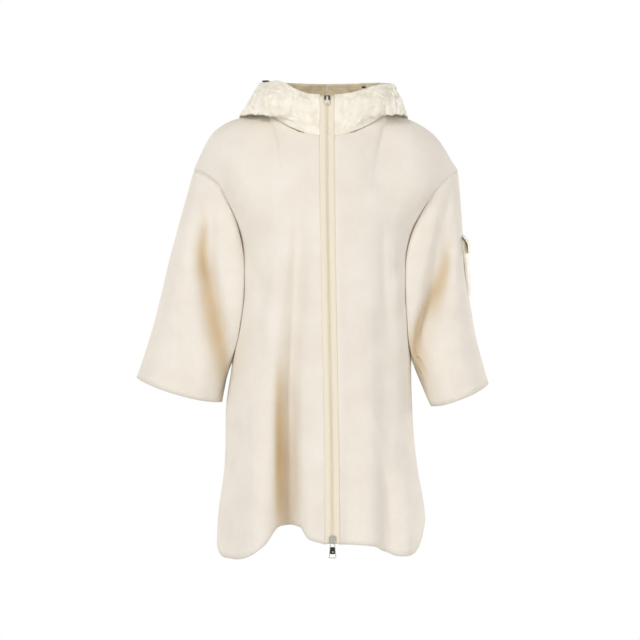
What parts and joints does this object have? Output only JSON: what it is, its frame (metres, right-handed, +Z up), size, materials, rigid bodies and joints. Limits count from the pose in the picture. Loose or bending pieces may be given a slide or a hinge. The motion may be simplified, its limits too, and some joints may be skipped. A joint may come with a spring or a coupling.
{
  "type": "hooded cape",
  "caption": "Wide cream wool cape coat, worn hollow: light nylon hood lying down, three-quarter sleeves, two-way front zip and a sleeve pocket.",
  "frame": {"origin": "middle of the neck base, where the wearer's neck and shoulders hold the garment", "axes": "+Z up along the wearer's spine, -Y to the front, +X to the wearer's left"},
  "size_m": [0.702, 0.3548, 0.9566],
  "materials": {
    "wool": "brushed cream double-faced wool",
    "nylon": "light crinkled cream nylon, soft sheen",
    "zip_tape": "woven cream zip tape",
    "dark_metal": "dark polished metal"
  },
  "bodies": {
    "garment": {"front_left": "wool", "front_right": "wool", "back": "wool", "sleeve_left": "wool", "sleeve_right": "wool", "hood_left": "nylon", "hood_right": "nylon", "sleeve_pocket": "nylon", "pocket_flap": "nylon", "zip_tape_left": "zip_tape", "zip_tape_right": "zip_tape", "zip_slider_top": "dark_metal", "zip_slider_bottom": "dark_metal", "hood_toggle_left": "dark_metal", "hood_toggle_right": "dark_metal"},
    "top_pull": {"zip_pull_top": "dark_metal"},
    "bottom_pull": {"zip_pull_bottom": "dark_metal"}
  },
  "joints": [
    {"name": "top_pull_swing", "type": "hinge", "parent": "garment", "child": "top_pull", "pos_m": [0.00015, -0.09753, 0.0318], "axis": [-1, 0, 0], "range_deg": [0, 150]},
    {"name": "bottom_pull_swing", "type": "hinge", "parent": "garment", "child": "bottom_pull", "pos_m": [0.01008, -0.17169, -0.83142], "axis": [-1, 0, 0], "range_deg": [0, 150]}
  ]
}
